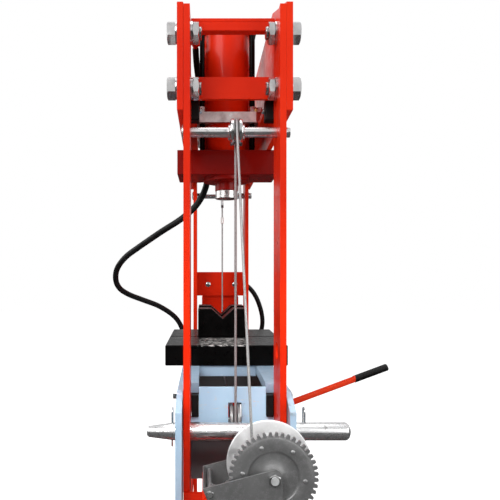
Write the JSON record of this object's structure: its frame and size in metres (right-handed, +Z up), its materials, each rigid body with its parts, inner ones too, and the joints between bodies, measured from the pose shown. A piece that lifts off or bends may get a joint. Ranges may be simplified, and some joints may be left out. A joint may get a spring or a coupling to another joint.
{
  "type": "hydraulic shop press",
  "caption": "Two-column hydraulic workshop press: hand pump, sideways-moving cylinder on a bolted crosshead, and a winch-lifted bed standing on cross pins.",
  "frame": {"origin": "on the floor, under the middle of the foot plate of the left column, the winch's one", "axes": "+Z up, +X along the bed from the winch's column to the pump's column, -Y the press's front"},
  "size_m": [1.5803, 1.1368, 1.8803],
  "materials": {
    "red_paint": "gloss",
    "dark_red_paint": "gloss",
    "blue_grey_paint": "satin",
    "zinc_plate": "satin",
    "bare_steel": "polished",
    "black_oxide": "satin",
    "black_rubber": "matte",
    "steel_rope": "satin"
  },
  "bodies": {
    "frame": {"left_column": "red_paint", "right_column": "red_paint", "left_foot": "red_paint", "right_foot": "red_paint", "front_tie_bar": "red_paint", "back_tie_bar": "red_paint", "front_beam": "red_paint", "back_beam": "red_paint", "left_front_upper_bolt": "zinc_plate", "left_front_lower_bolt": "zinc_plate", "left_back_upper_bolt": "zinc_plate", "left_back_lower_bolt": "zinc_plate", "right_front_upper_bolt": "zinc_plate", "right_front_lower_bolt": "zinc_plate", "right_back_upper_bolt": "zinc_plate", "right_back_lower_bolt": "zinc_plate", "left_pulley_axle": "zinc_plate", "right_rope_anchor": "zinc_plate", "winch_frame": "zinc_plate", "pump_tank": "red_paint", "pump_body": "dark_red_paint", "winch_rope": "steel_rope", "left_rope_fall": "steel_rope", "right_rope_fall": "steel_rope", "hose_lower": "black_rubber"},
    "carriage": {"carriage_block": "dark_red_paint", "cylinder_barrel": "red_paint", "cylinder_tie_rods": "red_paint", "carriage_plate": "zinc_plate", "hose_upper": "black_rubber"},
    "ram": {"ram": "bare_steel"},
    "bed": {"bed_front_side": "blue_grey_paint", "bed_back_side": "blue_grey_paint", "bed_left_end": "blue_grey_paint", "bed_right_end": "blue_grey_paint", "bed_left_crossbar": "blue_grey_paint", "bed_right_crossbar": "blue_grey_paint", "bed_rope": "steel_rope"},
    "left_bed_sheave": {"left_bed_sheave": "zinc_plate"},
    "right_bed_sheave": {"right_bed_sheave": "zinc_plate"},
    "left_pulley": {"left_pulley": "zinc_plate"},
    "winch_drum": {"winch_drum": "zinc_plate", "winch_gear": "zinc_plate"},
    "winch_crank": {"winch_crank": "zinc_plate"},
    "winch_grip": {"winch_grip": "black_rubber"},
    "winch_pawl": {"winch_pawl": "zinc_plate"},
    "left_bed_pin": {"left_bed_pin": "zinc_plate"},
    "right_bed_pin": {"right_bed_pin": "zinc_plate"},
    "left_pin_front_clip": {"left_pin_front_clip": "zinc_plate"},
    "left_pin_back_clip": {"left_pin_back_clip": "zinc_plate"},
    "right_pin_front_clip": {"right_pin_front_clip": "zinc_plate"},
    "right_pin_back_clip": {"right_pin_back_clip": "zinc_plate"},
    "left_press_plate": {"left_press_plate": "black_oxide"},
    "right_press_plate": {"right_press_plate": "black_oxide"},
    "left_v_block": {"left_v_block": "black_oxide"},
    "right_v_block": {"right_v_block": "black_oxide"},
    "pump_lever": {"pump_lever": "dark_red_paint", "pump_handle": "red_paint"},
    "pump_plunger": {"pump_plunger": "bare_steel"},
    "release_valve": {"release_valve": "black_oxide"}
  },
  "joints": [
    {"name": "carriage_slide", "type": "slide", "parent": "frame", "child": "carriage", "axis": [1, 0, 0], "range_m": [-0.23, 0.4]},
    {"name": "ram_extend", "type": "slide", "parent": "carriage", "child": "ram", "axis": [0, 0, -1], "range_m": [0, 0.15]},
    {"name": "bed_lift", "type": "slide", "parent": "frame", "child": "bed", "axis": [0, 0, 1], "range_m": [0, 0.183], "deforming": ["left_rope_fall", "right_rope_fall"]},
    {"name": "left_bed_sheave_turn", "type": "hinge", "parent": "bed", "child": "left_bed_sheave", "pos_m": [0.0615, -0.006, 0.8], "axis": [0, 1, 0], "range_deg": [0, 320]},
    {"name": "right_bed_sheave_turn", "type": "hinge", "parent": "bed", "child": "right_bed_sheave", "pos_m": [0.9425, -0.006, 0.8], "axis": [0, 1, 0], "range_deg": [0, 320]},
    {"name": "left_pulley_turn", "type": "hinge", "parent": "frame", "child": "left_pulley", "pos_m": [0, -0.006, 1.468], "axis": [0, 1, 0], "range_deg": [-755, 0]},
    {"name": "drum_turn", "type": "hinge", "parent": "frame", "child": "winch_drum", "pos_m": [-0.13475, -0.068, 0.754], "axis": [1, 0, 0], "range_deg": [-600, 0]},
    {"name": "crank_turn", "type": "hinge", "parent": "frame", "child": "winch_crank", "pos_m": [-0.1815, 0.01511, 0.70003], "axis": [1, 0, 0], "range_deg": [0, 3760]},
    {"name": "grip_turn", "type": "hinge", "parent": "winch_crank", "child": "winch_grip", "pos_m": [-0.2123, 0.01511, 0.48002], "axis": [1, 0, 0], "continuous": true},
    {"name": "pawl_lift", "type": "hinge", "parent": "frame", "child": "winch_pawl", "pos_m": [-0.158, 0.056, 0.7275], "axis": [-1, 0, 0], "range_deg": [0, 25]},
    {"name": "left_pin_slide", "type": "slide", "parent": "frame", "child": "left_bed_pin", "axis": [0, 1, 0], "range_m": [-0.009, 0.03]},
    {"name": "right_pin_slide", "type": "slide", "parent": "frame", "child": "right_bed_pin", "axis": [0, 1, 0], "range_m": [-0.009, 0.03]},
    {"name": "left_front_clip_lift", "type": "slide", "parent": "left_bed_pin", "child": "left_pin_front_clip", "axis": [0, 0, 1], "range_m": [0, 0.055]},
    {"name": "left_back_clip_lift", "type": "slide", "parent": "left_bed_pin", "child": "left_pin_back_clip", "axis": [0, 0, 1], "range_m": [0, 0.055]},
    {"name": "right_front_clip_lift", "type": "slide", "parent": "right_bed_pin", "child": "right_pin_front_clip", "axis": [0, 0, 1], "range_m": [0, 0.055]},
    {"name": "right_back_clip_lift", "type": "slide", "parent": "right_bed_pin", "child": "right_pin_back_clip", "axis": [0, 0, 1], "range_m": [0, 0.055]},
    {"name": "left_plate_slide", "type": "slide", "parent": "bed", "child": "left_press_plate", "axis": [1, 0, 0], "range_m": [-0.15, 0.004]},
    {"name": "right_plate_slide", "type": "slide", "parent": "bed", "child": "right_press_plate", "axis": [1, 0, 0], "range_m": [-0.004, 0.15]},
    {"name": "left_v_block_slide", "type": "slide", "parent": "bed", "child": "left_v_block", "axis": [1, 0, 0], "range_m": [-0.1, 0.03]},
    {"name": "right_v_block_slide", "type": "slide", "parent": "bed", "child": "right_v_block", "axis": [1, 0, 0], "range_m": [-0.03, 0]},
    {"name": "lever_swing", "type": "hinge", "parent": "frame", "child": "pump_lever", "pos_m": [1.138, -0.02, 0.4638], "axis": [-1, 0, 0], "range_deg": [-25, 20]},
    {"name": "plunger_stroke", "type": "slide", "parent": "frame", "child": "pump_plunger", "axis": [0, 0, 1], "range_m": [-0.019, 0.0155]},
    {"name": "valve_turn", "type": "hinge", "parent": "frame", "child": "release_valve", "pos_m": [1.16, -0.0703, 0.575], "axis": [0, 1, 0], "range_deg": [0, 180]}
  ],
  "couplings": [
    {"joint": "left_bed_sheave_turn", "follows": "bed_lift", "rad_per_m": 29.851},
    {"joint": "right_bed_sheave_turn", "follows": "bed_lift", "rad_per_m": 29.851},
    {"joint": "left_pulley_turn", "follows": "bed_lift", "rad_per_m": -71.429},
    {"joint": "drum_turn", "follows": "bed_lift", "rad_per_m": -56.338},
    {"joint": "crank_turn", "follows": "bed_lift", "rad_per_m": 354.12},
    {"joint": "plunger_stroke", "follows": "lever_swing", "m_per_rad": 0.042}
  ]
}
